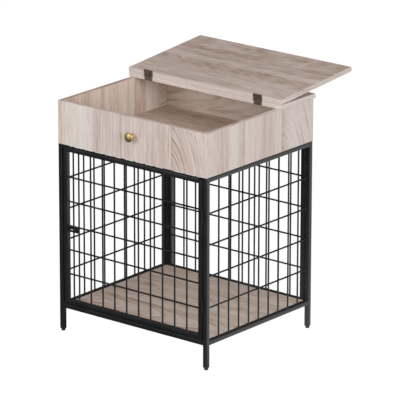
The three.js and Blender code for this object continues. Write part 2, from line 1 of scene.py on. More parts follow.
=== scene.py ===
# %% [markdown]
# # A dog crate end table
# The table is a crate of black square tube and welded wire under a shallow wood box. The box's lid
# stands open on two butt hinges, and the crate's front is a wire door on hinges of its own.
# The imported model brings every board, tube and hinge at its real size and place. This script gives
# them their finishes, and adds what is rounder or smaller than that model holds: round wires with
# their welds, the turned knob, weld beads and screws.

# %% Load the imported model
import json
import math

import bmesh
import bpy
from mathutils import Matrix, Vector


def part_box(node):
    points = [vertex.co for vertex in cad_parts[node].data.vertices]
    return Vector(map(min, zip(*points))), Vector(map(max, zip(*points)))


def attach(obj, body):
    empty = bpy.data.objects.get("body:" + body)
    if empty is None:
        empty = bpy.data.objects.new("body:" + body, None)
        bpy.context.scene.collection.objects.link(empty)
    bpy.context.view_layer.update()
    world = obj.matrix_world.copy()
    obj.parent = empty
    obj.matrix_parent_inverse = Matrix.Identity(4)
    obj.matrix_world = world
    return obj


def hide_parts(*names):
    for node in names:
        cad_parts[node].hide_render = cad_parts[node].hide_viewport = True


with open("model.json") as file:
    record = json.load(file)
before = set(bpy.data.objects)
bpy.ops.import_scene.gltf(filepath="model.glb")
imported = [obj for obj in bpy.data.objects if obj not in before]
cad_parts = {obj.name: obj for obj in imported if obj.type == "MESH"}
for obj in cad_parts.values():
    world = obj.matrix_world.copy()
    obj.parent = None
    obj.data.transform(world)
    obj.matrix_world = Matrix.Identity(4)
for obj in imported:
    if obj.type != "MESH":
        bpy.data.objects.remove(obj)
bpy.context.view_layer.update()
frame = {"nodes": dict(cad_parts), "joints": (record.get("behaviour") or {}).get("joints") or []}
nodes = frame["nodes"]
mm = 0.001

# %% [markdown]
# ## The camera
# The photograph is taken from far away with a long lens, a little above the table and from its
# right. The place and the lens were worked out from the table's straight edges, whose directions
# and lengths are known. A long lens keeps far edges nearly parallel, so the lens length matters
# as much as the direction.

# %% Camera
camera_azimuth = math.radians(39.175)
camera_elevation = math.radians(17.343)
camera_roll = math.radians(0.097)
camera_place = Vector((7.28817, -8.95350, 4.01170))
camera_lens_mm = 346.6
camera_sight = 100.0  # metres, so that the floor isn't cut off

towards_camera = Vector((
    math.sin(camera_azimuth) * math.cos(camera_elevation),
    -math.cos(camera_azimuth) * math.cos(camera_elevation),
    math.sin(camera_elevation),
))
level_right = Vector((math.cos(camera_azimuth), math.sin(camera_azimuth), 0))
upright = towards_camera.cross(level_right)
camera_right = level_right * math.cos(camera_roll) + upright * math.sin(camera_roll)
camera_up = upright * math.cos(camera_roll) - level_right * math.sin(camera_roll)
camera = bpy.data.objects.new("camera", bpy.data.cameras.new("camera"))
camera.data.lens = camera_lens_mm
camera.data.clip_end = camera_sight
camera.matrix_world = Matrix.Translation(camera_place) @ Matrix(
    (camera_right, camera_up, towards_camera)
).transposed().to_4x4()
bpy.context.collection.objects.link(camera)
bpy.context.scene.camera = camera
bpy.context.scene.view_settings.view_transform = "Standard"
print("Camera stands", round(camera_place.length, 2), "m from the table's foot")

# %% [markdown]
# ## Helpers for materials
# A material is a small tree of nodes. One function fills a node's sockets, by a number, a colour or
# a link from another node, and one adds any kind of node with its sockets filled. Another turns
# the hex colours that people write, which are sRGB, into the linear values that a renderer needs.
# The rest fill a colour ramp and start a material.

# %% Node and colour helpers
def fill(tree, node, sockets):
    """Fills sockets, each with a plain value, another node or one of that node's outputs."""
    for name, value in sockets.items():
        if isinstance(value, bpy.types.Node):
            value = value.outputs[0]
        if isinstance(value, bpy.types.NodeSocket):
            tree.links.new(value, node.inputs[name])
        else:
            node.inputs[name].default_value = value


def add(tree, kind, settings=None, sockets=None):
    """Adds a node with its sockets filled. One word as settings is the name of its operation."""
    node = tree.nodes.new("ShaderNode" + kind)
    if isinstance(settings, str):
        settings = {"operation": settings}
    for name, value in (settings or {}).items():
        setattr(node, name, value)
    fill(tree, node, sockets or {})
    return node


def linear(hex_colour):
    """A colour written as #rrggbb, as linear red, green, blue and alpha, by the sRGB standard."""
    parts = [int(hex_colour[i:i + 2], 16) / 255 for i in (1, 3, 5)]
    return tuple(
        part / 12.92 if part <= 0.04045 else ((part + 0.055) / 1.055) ** 2.4 for part in parts
    ) + (1.0,)


def ramp(node, stops, interpolation="LINEAR"):
    """Sets a Color Ramp's stops from pairs of a place and a hex colour or three numbers."""
    node.color_ramp.interpolation = interpolation
    elements = node.color_ramp.elements
    while len(elements) > 1:
        elements.remove(elements[-1])
    for index, (place, value) in enumerate(stops):
        element = elements[0] if index == 0 else elements.new(place)
        element.position = place
        element.color = linear(value) if isinstance(value, str) else (*value, 1.0)
    return node


def new_material(name):
    """An empty material with a Principled shader, as (material, tree, shader)."""
    material = bpy.data.materials.new(name)
    material.use_nodes = True
    tree = material.node_tree
    tree.nodes.clear()
    shader = add(tree, "BsdfPrincipled")
    add(tree, "OutputMaterial", sockets={"Surface": shader})
    return material, tree, shader


print("The paler wood colour #d6cdc8 is", [round(c, 3) for c in linear("#d6cdc8")])

# %% [markdown]
# ## The floor
# The photograph has a white background and no horizon. A large floor carries the object's shadow,
# and most of what the camera sees of it is a steady white, so only a faint shadow is left. A
# curved paper backdrop would do as well, but its bend would show from other sides. The floor's
# bright part lies behind the table to the right, where the steel's right-hand faces mirror it,
# while the front faces mirror a dark floor.

# %% Floor and background
floor_reach = 40.0
floor_drop = 0.5 * mm  # keeps the paper just clear of the feet
paper_colour = "#a9a8a6"
paper_roughness = 0.9
floor_white_share = 0.86
floor_white_strength = 1.16
floor_dark_mirrored = 0.08
# The mirrored floor brightens from the front left to the back right, between two distances from
# the middle in metres.
brighter_towards = (0.63, 0.78, 0)
brighter_between = (-0.3, 0.2)
plain_white = (1, 1, 1, 1)

floor_mesh = bpy.data.meshes.new("studio_floor")
floor_mesh.from_pydata(
    [(x * floor_reach, y * floor_reach, 0) for x, y in ((-1, -1), (1, -1), (1, 1), (-1, 1))],
    [],
    [(0, 1, 2, 3)],
)
studio_floor = bpy.data.objects.new("studio_floor", floor_mesh)
studio_floor.location.z = -floor_drop
bpy.context.collection.objects.link(studio_floor)

floor_material, tree, shader = new_material("studio_paper")
fill(tree, shader, {"Base Color": linear(paper_colour), "Roughness": paper_roughness})
rays = add(tree, "LightPath")
floor_place = add(tree, "TexCoord").outputs["Object"]
way = add(tree, "VectorMath", "DOT_PRODUCT", {0: floor_place, 1: brighter_towards})
bright_part = add(tree, "MapRange", {"interpolation_type": "SMOOTHSTEP"}, {
    "Value": way.outputs["Value"],
    "From Min": brighter_between[0], "From Max": brighter_between[1],
    "To Min": floor_dark_mirrored, "To Max": floor_white_strength,
})
seen = add(tree, "Math", "MULTIPLY", {0: rays.outputs["Is Camera Ray"], 1: floor_white_share})
seen_or_mirrored = add(tree, "Math", "MAXIMUM", {0: seen, 1: rays.outputs["Is Glossy Ray"]})
glow = add(tree, "MapRange", sockets={
    "Value": rays.outputs["Is Camera Ray"], "To Min": bright_part, "To Max": floor_white_strength,
})
white = add(tree, "Emission", sockets={"Color": plain_white, "Strength": glow})
floor_mix = add(tree, "MixShader", sockets={0: seen_or_mirrored, 1: shader, 2: white})
fill(tree, tree.nodes["Material Output"], {"Surface": floor_mix})
floor_mesh.materials.append(floor_material)
print("The camera sees the floor as", floor_white_share, "white and the rest paper")

# %% [markdown]
# ## Light from the room
# Warm diffuse light comes from all round, as off a wood floor and cream walls. It is what lights
# the insides. The camera sees white, and steel mirrors a dim room. The world answers each kind of
# ray in its own way, so no walls have to be modelled.

# %% Room
room_strength = 0.35
room_mirrored = 0.10
room_warmth = (1.0, 0.82, 0.69, 1.0)

world = bpy.data.worlds.new("studio_room")
bpy.context.scene.world = world
world.use_nodes = True
tree = world.node_tree
tree.nodes.clear()
rays = add(tree, "LightPath")
dim = add(tree, "MapRange", sockets={
    "Value": rays.outputs["Is Glossy Ray"], "To Min": room_strength, "To Max": room_mirrored,
})
strength = add(tree, "MapRange", sockets={
    "Value": rays.outputs["Is Camera Ray"], "To Min": dim, "To Max": 1.0,
})
seen_or_mirrored = add(tree, "Math", "MAXIMUM", {
    0: rays.outputs["Is Camera Ray"], 1: rays.outputs["Is Glossy Ray"],
})
tint = add(
    tree, "Mix", {"data_type": "RGBA"}, {0: seen_or_mirrored, 6: room_warmth, 7: plain_white}
)
room = add(tree, "Background", sockets={"Color": tint.outputs[2], "Strength": strength})
add(tree, "OutputWorld", sockets={"Surface": room})
print("The room gives", room_strength, "of a white room's light")

# %% [markdown]
# ## Lamps
# The light is soft and comes from the front on both sides, more level than from above: the upright
# faces are paler than the lid. Small lamps would draw hard shadows, so these are large squares, as
# a photographer's soft boxes are. Their power follows from the distance, so that a lamp's level
# says how bright it makes a surface that faces it.

# %% Soft lamps
lamp_white = (0.965, 1.0, 1.05)
lamp_distance = 4.0
lamp_aim = Vector((0, 0, 0.45))


def soft_lamp(name, azimuth, elevation, size, level):
    """A square soft box that faces the table. Level 1 shows a colour as written, straight on."""
    lamp = bpy.data.lights.new(name, "AREA")
    lamp.size = size
    lamp.energy = level * math.pi ** 2 * lamp_distance ** 2
    lamp.color = lamp_white
    holder = bpy.data.objects.new(name, lamp)
    side, up = math.radians(azimuth), math.radians(elevation)
    away = Vector((math.sin(side) * math.cos(up), -math.cos(side) * math.cos(up), math.sin(up)))
    holder.location = lamp_aim + away * lamp_distance
    holder.rotation_euler = away.to_track_quat("Z", "Y").to_euler()
    bpy.context.collection.objects.link(holder)
    print(name, "gives level", level, "from", azimuth, "degrees")


soft_lamp("left_lamp", azimuth=-16, elevation=20, size=1.8, level=0.39)
soft_lamp("right_lamp", azimuth=62, elevation=20, size=1.9, level=0.66)
soft_lamp("top_lamp", azimuth=35, elevation=62, size=2.0, level=0.12)

# %% [markdown]
# ## Wood: pale greyed oak laminate
# The boards are chipboard with a pressed laminate in the look of whitewashed oak, laid in broad
# staves with the grain along them. Up close such a print is a photograph of real oak: fine
# streaks of pores, growth rings that run straight or close into arches, and staves that differ in
# tone. Wood in three dimensions makes these lines by itself, so the rings here are cut from a
# leaning trunk: their distance from its axis decides where they lie, and the board's face slices
# them. The streaks on the real boards are under a millimetre wide, which a picture of this size
# can't show, so the finest are drawn about two millimetres wide.

# %% Sizes and colours of the print
# Each layer of streaks: width, length, and how much it changes the tone.
streak_layers = ((14 * mm, 420 * mm, 0.30), (5 * mm, 220 * mm, 0.55), (2.2 * mm, 50 * mm, 0.70))
pore_size = (1.8 * mm, 22 * mm)
pore_force = 0.14
ring_spacing = 5 * mm
ring_wander = 10 * mm
ring_wander_size = (60 * mm, 260 * mm)
ring_break_size = (9 * mm, 70 * mm)
# Noise runs from 0 to 1. Each of these starts to show at the first value and is full at the second.
latewood_between = (0.48, 0.70)
unbroken_between = (0.38, 0.60)
pores_between = (0.58, 0.72)

# Pinkish brown latewood up to the whitened pores, as they look in plain light.
oak_tones = (
    (0.00, "#8f7768"), (0.25, "#ab9587"), (0.45, "#c1b1a7"), (0.62, "#cfc4bd"),
    (0.80, "#d9d1cb"), (1.00, "#e0dad5"),
)
# The left side, the back and the floors, which are seen from inside, take redder colours: painted
# warm light, as if bounced between the boards.
bounce_warmed_tones = (
    (0.00, "#8f7361"), (0.25, "#ad9280"), (0.45, "#c5afa0"), (0.62, "#d3c3b6"),
    (0.80, "#ddd0c5"), (1.00, "#e4d9cf"),
)
print("The finest streaks are", round(streak_layers[-1][0] / mm, 1), "mm wide")

# %% [markdown]
# ### Where a point lies in its board
# Wood hardly changes along the grain and changes fast across it. So each pattern starts from
# three places of a point: across the board, along the grain and into the depth. At the ends of the
# grain a strip of edge banding is glued on, and its print runs the long way of the edge.

# %% Places in a board
end_steepness = 0.7  # a face is an end if its normal lies this far along the grain


def board_range(node, axis):
    """The lowest and highest place of a board along an axis, in metres."""
    index = "XYZ".index(axis)
    low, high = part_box(node)
    return low[index], high[index]


def place_in_board(tree, grain, across):
    """The place across, along and into a board, and 1 where a point is on an end of the grain."""
    depth = ({"X", "Y", "Z"} - {grain, across}).pop()
    place = add(tree, "TexCoord")
    at = add(tree, "SeparateXYZ", sockets={0: place.outputs["Object"]}).outputs
    facing = add(tree, "SeparateXYZ", sockets={0: place.outputs["Normal"]}).outputs
    steep = add(tree, "Math", "ABSOLUTE", {0: facing[grain]})
    end = add(tree, "Math", "GREATER_THAN", {0: steep, 1: end_steepness})
    on_face = add(tree, "CombineXYZ", sockets={0: at[across], 1: at[grain], 2: at[depth]})
    on_end = add(tree, "CombineXYZ", sockets={0: at[depth], 1: at[across], 2: at[grain]})
    where = add(tree, "Mix", {"data_type": "VECTOR"}, {0: end, 4: on_face, 5: on_end})
    return where.outputs[1], end


def streaks_of(tree, where, width, length, seed):
    """Noise drawn out along the grain of a place across, along and into the board."""
    scale = (1 / width, 1 / length, 1 / width)
    stretched = add(tree, "VectorMath", "MULTIPLY", {0: where, 1: scale})
    return add(tree, "TexNoise", {"noise_dimensions": "4D"}, {
        "Vector": stretched, "W": seed, "Scale": 1.0, "Detail": 3.0, "Roughness": 0.6,
    })


print("The front panel runs between", [round(c / mm) for c in board_range("box_front", "X")], "mm")

# %% [markdown]
# ### Staves and their trunks
# The staves lie side by side, and each is from another tree. Two ramps across the board hold what
# differs. One has the broad tones. The other changes in steps, and its red, green and blue hold
# the place of the stave's trunk, how strong its rings are and how far the trunk leans.

# %% Staves
def staves(tree, across_board, low, high, tones, hearts):
    """The broad tone at a place across the board, and the trunk's axis, ring force and lean."""
    reach = high - low
    width = reach / mm
    share = add(tree, "MapRange", sockets={
        "Value": across_board, "From Min": low, "From Max": high,
    })
    broad = ramp(
        add(tree, "ValToRGB", sockets={0: share}),
        [(x / width, (tone, tone, tone)) for x, tone in tones],
    )
    # A colour holds the axis as a share of three widths, as it may lie outside the board.
    heart = ramp(
        add(tree, "ValToRGB", sockets={0: share}),
        [(x / width, ((centre / width + 1) / 3, force, lean)) for x, centre, force, lean in hearts],
        "CONSTANT",
    )
    axis_share, ring_force, lean = add(tree, "SeparateColor", sockets={0: heart}).outputs
    axis = add(tree, "MapRange", sockets={
        "Value": axis_share, "To Min": low - reach, "To Max": high + reach,
    })
    return broad, axis, ring_force, lean


print("Oak tones go in", len(oak_tones), "steps from dark latewood to whitened pores")

# %% [markdown]
# ### Rings and streaks
# The distance from the leaning trunk's axis, made uneven by slow noise, says where in the tree a
# point grew. Rings, streaks and pores all follow it, so they bend together as they do in wood.

# %% Rings and streaks
ring_break_seed = 5.0
pore_seed = 9.0


def growth(tree, where, axis, lean, heart_end, seed):
    """How far from its trunk's axis a point grew, and its place in that bent wood."""
    across_board, along_grain, into = add(tree, "SeparateXYZ", sockets={0: where}).outputs
    aside = add(tree, "Math", "SUBTRACT", {0: across_board, 1: axis})
    along = add(tree, "Math", "SUBTRACT", {0: along_grain, 1: heart_end})
    sunk = add(tree, "Math", "MULTIPLY_ADD", {0: along, 1: lean, 2: into})
    slice_at = add(tree, "CombineXYZ", sockets={0: aside, 1: sunk})
    even = add(tree, "VectorMath", "LENGTH", {0: slice_at}).outputs["Value"]
    slow = streaks_of(tree, where, *ring_wander_size, seed)
    radius = add(tree, "Math", "MULTIPLY_ADD", {0: slow, 1: ring_wander, 2: even})
    return radius, add(tree, "CombineXYZ", sockets={0: radius, 1: along_grain, 2: into})


def ring_lines(tree, radius, grown, force, seed):
    """Latewood lines at the rings, which fade out here and there."""
    rings = add(tree, "TexNoise", {"noise_dimensions": "1D"}, {
        "W": radius, "Scale": 1 / ring_spacing, "Detail": 2.0, "Roughness": 0.6,
    })
    latewood = add(tree, "MapRange", {"interpolation_type": "SMOOTHSTEP"}, {
        "Value": rings, "From Min": latewood_between[0], "From Max": latewood_between[1],
    })
    unbroken = add(tree, "MapRange", sockets={
        "Value": streaks_of(tree, grown, *ring_break_size, seed + ring_break_seed),
        "From Min": unbroken_between[0], "From Max": unbroken_between[1],
    })
    lines = add(tree, "Math", "MULTIPLY", {0: latewood, 1: unbroken})
    return add(tree, "Math", "MULTIPLY", {0: lines, 1: force})


def streaked(tree, tone, grown, fibre, seed):
    """A tone with streaks along the grain and short dark pores."""
    for number, (width, length, force) in enumerate(streak_layers):
        streaks = streaks_of(tree, grown, width, length, seed + number)
        centred = add(tree, "Math", "SUBTRACT", {0: streaks, 1: 0.5})
        tone = add(tree, "Math", "MULTIPLY_ADD", {0: centred, 1: force * fibre, 2: tone})
    pores = add(tree, "MapRange", sockets={
        "Value": streaks_of(tree, grown, *pore_size, seed + pore_seed),
        "From Min": pores_between[0], "From Max": pores_between[1], "To Max": pore_force,
    })
    return add(tree, "Math", "SUBTRACT", {0: tone, 1: pores})


print("Rings are about", round(ring_spacing / mm), "mm apart")

# %% [markdown]
# ### The laminate
# The parts come together in one tone from 0, dark, to 1, pale. A ramp turns it into colour, and it
# drives the gloss and the relief too: on the real sheet the print and the pressed pores agree, so
# dark lines are a little deeper and duller than the pale wood between them.

# %% Laminate
laminate_roughness = (0.62, 0.50)  # of the darkest and the palest tone
laminate_relief = 0.25 * mm
edge_reach = 0.6 * mm
bevel_samples = 4
banding_shade = -0.07  # most edge banding comes from a darker roll than the faces
pale_banding = 0.08


def greyed_oak(
    node, name, grain, across, tones, hearts,
    heart_end, seed, fibre=1.0, banding=banding_shade, palette=oak_tones,
):
    """Greyed oak laminate for the board of a node, as a material of the name.

    The grain runs along one axis and the staves lie side by side across another. tones are pairs
    of a place across the board in mm from its low side and a tone from 0, dark, to 1, pale.
    hearts are stave starts in mm, each with the place of its trunk's axis, how strong its rings
    are and how fast the axis sinks along the grain. A stave has two where its rings get fainter.
    The axes cross the plane through the frame's origin at heart_end, in metres. seed picks the
    noise, fibre scales the streaks, banding is how much paler the ends of the grain are, and
    palette has the colours, which are warmed as painted bounce light for the boards seen from inside.
    """
    material, tree, shader = new_material(name)
    low, high = board_range(node, across)
    where, end = place_in_board(tree, grain, across)
    across_board = add(tree, "SeparateXYZ", sockets={0: where}).outputs[0]
    broad, axis, ring_force, lean = staves(tree, across_board, low, high, tones, hearts)
    radius, grown = growth(tree, where, axis, lean, heart_end, seed)
    rings = ring_lines(tree, radius, grown, ring_force, seed)
    ringed = add(tree, "Math", "SUBTRACT", {0: broad, 1: rings})
    grained = streaked(tree, ringed, grown, fibre, seed)
    tone = add(tree, "Math", "MULTIPLY_ADD", {0: end, 1: banding, 2: grained})
    colour = ramp(add(tree, "ValToRGB", sockets={0: tone}), palette)
    gloss = add(tree, "MapRange", sockets={
        "Value": tone, "To Min": laminate_roughness[0], "To Max": laminate_roughness[1],
    })
    eased = add(tree, "Bevel", {"samples": bevel_samples}, {"Radius": edge_reach})
    relief = add(tree, "Bump", sockets={
        "Height": tone, "Strength": 0.25, "Distance": laminate_relief, "Normal": eased,
    })
    fill(tree, shader, {
        "Base Color": colour, "Roughness": gloss, "Normal": relief,
        "IOR": 1.5, "Specular IOR Level": 0.35,
    })
    print(name, "has rings in", len(hearts), "parts over", round((high - low) / mm), "mm")
    return material


# %% [markdown]
# ## The boards
# Each board gets a laminate of its own, because each is cut from another place of the sheet. The
# front and the sides have upright grain. The lid, the rear board, the back and the floors have
# grain along the table's width. The broad tones follow what the photograph shows of each board:
# where its staves meet, where a pink streak runs and where rings close into arches. On the floors
# and the left panel some tones are also painted light and shade, as noted at each.

# %% The upright boards
board_prints = {
    "box_front": dict(
        name="oak_front_panel", grain="Z", across="X",
        tones=[
            (0, 0.66), (60, 0.76), (116, 0.72), (130, 0.52), (138, 0.54), (144, 0.36),
            (149, 0.56), (160, 0.50), (214, 0.56), (236, 0.50), (240, 0.36), (244, 0.62),
            (268, 0.50), (300, 0.62), (326, 0.46), (334, 0.60), (366, 0.44), (384, 0.58),
            (400, 0.42), (434, 0.60), (439, 0.32), (446, 0.45), (490, 0.52), (564, 0.60),
        ],
        hearts=[
            (0, -200, 0.08, 0.004), (239, 700, 0.10, 0.007), (330, 60, 0.14, 0.015),
            (439, 408, 0.44, 0.30), (490, 408, 0.26, 0.30),
        ],
        heart_end=-0.85, seed=1.0,
    ),
    "box_side_right": dict(
        name="oak_right_panel", grain="Z", across="Y",
        tones=[
            (0, 0.58), (60, 0.56), (76, 0.46), (88, 0.54), (98, 0.48), (110, 0.66),
            (148, 0.72), (158, 0.48), (166, 0.56), (176, 0.46), (192, 0.66), (262, 0.60),
            (282, 0.46), (290, 0.56), (310, 0.51), (330, 0.62), (362, 0.73), (366, 0.46),
            (384, 0.58), (410, 0.70), (524, 0.70),
        ],
        hearts=[(0, -200, 0.08, 0.04), (150, 620, 0.10, 0.04), (366, 340, 0.26, 0.14)],
        heart_end=0.50, seed=2.3, fibre=0.6,
    ),
    # The left panel's tones drop at 350 mm, right under the rear board's front edge. From 469 mm back
    # they are kept pale: painted light in the shade under the rear board.
    "box_side_left": dict(
        name="oak_left_panel", grain="Z", across="Y",
        tones=[
            (0, 0.56), (50, 0.48), (90, 0.58), (128, 0.44), (140, 0.60), (176, 0.66),
            (194, 0.44), (210, 0.66), (262, 0.54), (286, 0.72), (320, 0.56), (336, 0.74),
            (348, 0.76), (352, 0.42), (376, 0.56), (406, 0.45), (409, 0.78), (466, 0.74),
            (469, 0.60), (524, 0.68),
        ],
        hearts=[
            (0, -240, 0.08, 0.03), (194, 640, 0.10, 0.05), (350, 300, 0.12, 0.05),
            (469, 484, 0.50, 0.30),
        ],
        heart_end=0.50, seed=3.1, palette=bounce_warmed_tones,
    ),
    "box_back": dict(
        name="oak_back_panel", grain="X", across="Z",
        tones=[(0, 0.70), (40, 0.62), (70, 0.72), (104, 0.58), (139.5, 0.60)],
        hearts=[(0, 84, 0.34, 0.06), (112, 30, 0.12, 0.03)],
        heart_end=0.50, seed=4.7, palette=bounce_warmed_tones,
    ),
}
print(len(board_prints), "upright boards")

# %% The level boards
board_prints |= {
    # The box floor's tones are darker from 300 mm back, towards the part under the rear board:
    # painted shade.
    "box_floor": dict(
        name="oak_box_floor", grain="X", across="Y",
        tones=[(0, 0.58), (90, 0.62), (150, 0.52), (240, 0.58), (300, 0.48), (493, 0.48)],
        hearts=[(0, -120, 0.08, 0.03), (150, 380, 0.10, 0.03), (300, 700, 0.08, 0.03)],
        heart_end=-0.60, seed=5.9, fibre=1.3, palette=bounce_warmed_tones,
    ),
    # The crate floor's tones are paler than the other boards': painted light, standing in for the
    # light that reaches this floor under the box.
    "crate_floor": dict(
        name="oak_crate_floor", grain="X", across="Y",
        tones=[
            (0, 0.70), (40, 0.56), (70, 0.76), (110, 0.80), (150, 0.52), (160, 0.60),
            (164, 0.90), (210, 0.62), (250, 0.82), (290, 0.66), (330, 0.94), (334, 0.72),
            (380, 0.68), (420, 0.88), (450, 0.72), (490, 0.82),
        ],
        hearts=[(0, 84, 0.40, 0.10), (164, 300, 0.22, 0.05), (332, 620, 0.16, 0.04)],
        heart_end=-0.12, seed=6.2, fibre=2.0, palette=bounce_warmed_tones,
    ),
    "rear_top_board": dict(
        name="oak_rear_board", grain="X", across="Y",
        tones=[(0, 0.64), (60, 0.56), (90, 0.66), (140, 0.54), (174, 0.64)],
        hearts=[(0, -80, 0.10, 0.04), (88, 150, 0.10, 0.06)],
        heart_end=-0.70, seed=7.4, banding=pale_banding,
    ),
    "lid": dict(
        name="oak_lid", grain="X", across="Y",
        tones=[
            (0, 0.66), (24, 0.56), (56, 0.60), (92, 0.58), (116, 0.54), (138, 0.46),
            (166, 0.45), (172, 0.62), (194, 0.68), (214, 0.50), (246, 0.58), (252, 0.45),
            (292, 0.60), (326, 0.48), (360, 0.56),
        ],
        hearts=[
            (0, -120, 0.06, 0.03), (116, 152, 0.16, 0.05), (172, 420, 0.06, 0.03),
            (250, 430, 0.08, 0.04),
        ],
        heart_end=0.14, seed=8.8, fibre=1.15, banding=pale_banding,
    ),
}
for node, board_print in board_prints.items():
    nodes[node].data.materials[0] = greyed_oak(node, **board_print)
print(len(board_prints), "boards finished")

# %% [markdown]
# ## Steel: satin black powder coat
# The crate is mild steel tube and wire, sprayed with black powder that melts into one skin in an
# oven. The skin is a plastic, not a metal, so it isn't metallic: it is near black where it mirrors
# a dark room and grey where it mirrors a bright wall. It flows into faint waves, like orange peel,
# and pulls thin over sharp corners, where it looks paler. Those corners are found with a bevel
# node, whose rounded normal differs from the flat one only near an edge. The real waves are about
# a millimetre across, and here they are three, so that they show.

# %% Worn or thinned corners
corner_facing = (1.0, 0.75)  # how far the rounded and flat normals agree, off and on a corner


def on_corners(tree, reach, most):
    """A rounded normal, and a value that rises from 0 to most on corners within a reach."""
    corner = add(tree, "Bevel", {"samples": bevel_samples}, {"Radius": reach})
    flat = add(tree, "NewGeometry").outputs["True Normal"]
    turn = add(tree, "VectorMath", "DOT_PRODUCT", {0: corner, 1: flat})
    amount = add(tree, "MapRange", sockets={
        "Value": turn.outputs["Value"],
        "From Min": corner_facing[0], "From Max": corner_facing[1], "To Max": most,
    })
    return corner, amount


print("Worn corners start where the two normals agree less than", corner_facing[0])

# %% Powder coat
coat_wave = 3 * mm
coat_relief = 0.15 * mm
patches_per_metre = 14.0
coat_corner_reach = 0.9 * mm
# How pale the coat is: a start, and what the waves, the patches and the corners add.
coat_tone, coat_wave_force, coat_patch_force, coat_corner_force = -0.2, 0.5, 0.4, 0.45
coat_gloss_spread = 0.05
patches_between = (0.3, 0.7)


def powder_coat(name, base, thin, rough):
    """Black powder coat on steel, paler where it thins over corners."""
    material, tree, shader = new_material(name)
    place = add(tree, "TexCoord").outputs["Object"]
    waves = add(tree, "TexNoise", sockets={"Vector": place, "Scale": 1 / coat_wave, "Detail": 2.0})
    patches = add(tree, "TexNoise", sockets={
        "Vector": place, "Scale": patches_per_metre, "Detail": 3.0,
    })
    corner, worn = on_corners(tree, coat_corner_reach, 1.0)
    tone = coat_tone
    for part, force in (
        (waves, coat_wave_force), (patches, coat_patch_force), (worn, coat_corner_force)
    ):
        tone = add(tree, "Math", "MULTIPLY_ADD", {0: part, 1: force, 2: tone})
    colour = ramp(add(tree, "ValToRGB", sockets={0: tone}), [(0.0, base), (1.0, thin)])
    gloss = add(tree, "MapRange", sockets={
        "Value": patches, "From Min": patches_between[0], "From Max": patches_between[1],
        "To Min": rough - coat_gloss_spread, "To Max": rough + coat_gloss_spread,
    })
    relief = add(tree, "Bump", sockets={
        "Height": waves, "Strength": 0.2, "Distance": coat_relief, "Normal": corner,
    })
    fill(tree, shader, {"Base Color": colour, "Roughness": gloss, "Normal": relief, "IOR": 1.5})
    return material


black_coat = powder_coat("black_powder_coat", "#121213", "#2e2e30", rough=0.34)
# The wires take a blacker, duller coat than the tubes. The blacker colour is painted shade that keeps
# their lit sides dark.
wire_coat = powder_coat("black_wire_powder_coat", "#0c0c0d", "#1e1e20", rough=0.46)
print("Powder coat waves are", round(coat_wave / mm), "mm across")

# %% [markdown]
# ## Small metal: antique bronze, zinc and brass
# The lid's hinges are steel with a dark antique bronze plating that was brushed afterwards, so
# high spots are rubbed paler and hollows stay brown. On all three metals the paler corners are also
# a painted highlight. Pins, bolts and the knob's screw are bright zinc plate, which dulls to a
# cloudy grey. The knob is turned from brass and lightly lacquered: a soft shine and a warm tone. All
# three are metals, whose own colour tints what they mirror, and they keep the default IOR. One
# function makes them, as they differ in colour, roughness and brushing alone.

# %% Plated and turned metal
# How far in from an edge, and how strongly, corners are made paler: rubbed wear and a painted
# highlight.
rubbed_highlight_reach = 0.5 * mm
rubbed_highlight_force = 0.3
brush_length = 20  # how many times longer than wide a brushed line is
lines_per_cloud = 5
metal_relief = 0.05 * mm
dark_at, bright_at = 0.35, 0.75
duller, shinier = 0.08, 0.06


def plated_metal(name, dark, bright, rough, cloud, line=None):
    """A metal that varies in clouds, paler on its corners as rubbed wear and a painted highlight,
    with fine lines if asked.
    """
    material, tree, shader = new_material(name)
    place = add(tree, "TexCoord").outputs["Object"]
    stretch = tuple(1 / brush_length if axis == line else 1.0 for axis in "XYZ")
    drawn = add(tree, "VectorMath", "MULTIPLY", {0: place, 1: stretch})
    clouds = add(tree, "TexNoise", sockets={"Vector": place, "Scale": 1 / cloud, "Detail": 4.0})
    lines = add(tree, "TexNoise", sockets={
        "Vector": drawn, "Scale": lines_per_cloud / cloud, "Detail": 2.0,
    })
    both = add(tree, "Math", "ADD", {0: clouds, 1: lines})
    even = add(tree, "Math", "MULTIPLY", {0: both, 1: 0.5})
    # The paler corners are rubbed wear and a painted highlight along the edges.
    corner, rubbed_highlight = on_corners(tree, rubbed_highlight_reach, rubbed_highlight_force)
    shine = add(tree, "Math", "ADD", {0: even, 1: rubbed_highlight})
    colour = ramp(
        add(tree, "ValToRGB", sockets={0: shine}), [(dark_at, dark), (bright_at, bright)]
    )
    gloss = add(tree, "MapRange", sockets={
        "Value": shine, "From Min": dark_at, "From Max": bright_at,
        "To Min": rough + duller, "To Max": rough - shinier,
    })
    relief = add(tree, "Bump", sockets={
        "Height": lines, "Strength": 0.15, "Distance": metal_relief, "Normal": corner,
    })
    fill(tree, shader, {
        "Base Color": colour, "Roughness": gloss, "Normal": relief, "Metallic": 1.0,
    })
    return material


antique_bronze = plated_metal(
    "antique_bronze_plate", "#4a4037", "#a39786", rough=0.50, cloud=4 * mm, line="X"
)
bright_zinc = plated_metal("bright_zinc_plate", "#8f9090", "#b9bab8", rough=0.36, cloud=6 * mm)
turned_brass = plated_metal("turned_brass", "#c6a46c", "#e0c594", rough=0.48, cloud=5 * mm)
print("Metals:", antique_bronze.name, bright_zinc.name, turned_brass.name)

# %% [markdown]
# ## Plastic: moulded polyethylene feet
# The feet are injection-moulded polyethylene, pushed into the legs. Moulding leaves them matt with
# a fine grain from the spark-eroded mould, and the edge that slides on the floor scuffs paler. The
# height above the floor is all that the scuffing needs to know.

# %% Moulded feet
foot_grain = 1.5 * mm
foot_relief_height = 0.1 * mm
scuff_height = 3 * mm
scuff_force = 0.5
foot_tone = 0.1
foot_black, foot_scuffed = "#171718", "#6c6a68"

